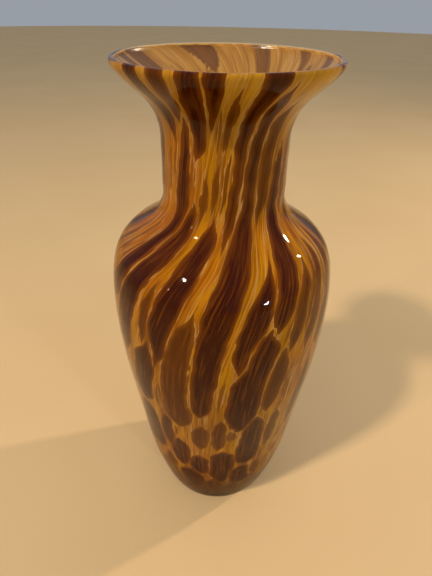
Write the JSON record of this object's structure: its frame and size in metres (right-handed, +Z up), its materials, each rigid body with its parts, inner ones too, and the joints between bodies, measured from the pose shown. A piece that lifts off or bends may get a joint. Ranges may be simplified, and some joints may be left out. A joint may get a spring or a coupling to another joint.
{
  "type": "art glass vase",
  "caption": "Blown baluster vase of cased glass: amber lining, drawn brown glass pieces, clear outer casing, flared lip.",
  "frame": {"origin": "on the vase's axis, in the plane that the foot rests on", "axes": "+Z up along the axis through the mouth; the front is towards -Y"},
  "size_m": [0.1286, 0.1286, 0.3],
  "materials": {
    "clear_glass": "polished clear glass",
    "amber_glass": "glossy translucent amber glass",
    "deep_brown_glass": "glossy deep brown glass",
    "thin_brown_glass": "glossy reddish brown glass"
  },
  "bodies": {
    "root": {"amber_lining": "amber_glass", "neck_streak_01": "deep_brown_glass", "long_streak_01": "deep_brown_glass", "neck_streak_02": "thin_brown_glass", "shoulder_streak_01": "deep_brown_glass", "neck_streak_03": "thin_brown_glass", "neck_streak_04": "deep_brown_glass", "shoulder_streak_02": "deep_brown_glass", "lip_streak_01": "deep_brown_glass", "lip_streak_02": "deep_brown_glass", "lip_streak_03": "thin_brown_glass", "lip_streak_04": "deep_brown_glass", "neck_fleck_01": "thin_brown_glass", "neck_fleck_02": "thin_brown_glass", "neck_fleck_03": "thin_brown_glass", "neck_fleck_04": "thin_brown_glass", "shoulder_streak_03": "deep_brown_glass", "shoulder_streak_04": "deep_brown_glass", "shoulder_streak_05": "deep_brown_glass", "shoulder_streak_06": "thin_brown_glass", "shoulder_streak_07": "thin_brown_glass", "shoulder_streak_08": "thin_brown_glass", "belly_chip_01": "thin_brown_glass", "belly_chip_02": "deep_brown_glass", "belly_chip_03": "thin_brown_glass", "belly_chip_04": "deep_brown_glass", "belly_chip_05": "thin_brown_glass", "belly_chip_06": "thin_brown_glass", "low_chip_01": "deep_brown_glass", "low_chip_02": "deep_brown_glass", "low_chip_03": "deep_brown_glass", "low_chip_04": "thin_brown_glass", "low_chip_05": "thin_brown_glass", "low_chip_06": "thin_brown_glass", "foot_chip_01": "deep_brown_glass", "foot_chip_02": "deep_brown_glass", "foot_chip_03": "deep_brown_glass", "foot_chip_04": "deep_brown_glass", "foot_chip_05": "deep_brown_glass", "back_streak_01": "deep_brown_glass", "back_streak_02": "deep_brown_glass", "back_streak_03": "thin_brown_glass", "back_streak_04": "deep_brown_glass", "back_streak_05": "deep_brown_glass", "back_streak_06": "deep_brown_glass", "back_streak_07": "deep_brown_glass", "back_streak_08": "thin_brown_glass", "back_streak_09": "deep_brown_glass", "back_chip_01": "deep_brown_glass", "back_chip_02": "deep_brown_glass", "back_chip_03": "thin_brown_glass", "back_chip_04": "deep_brown_glass", "back_chip_05": "deep_brown_glass", "back_chip_06": "deep_brown_glass", "back_chip_07": "deep_brown_glass", "back_chip_08": "deep_brown_glass", "back_chip_09": "deep_brown_glass", "back_chip_10": "thin_brown_glass", "clear_casing": "clear_glass"}
  },
  "joints": []
}
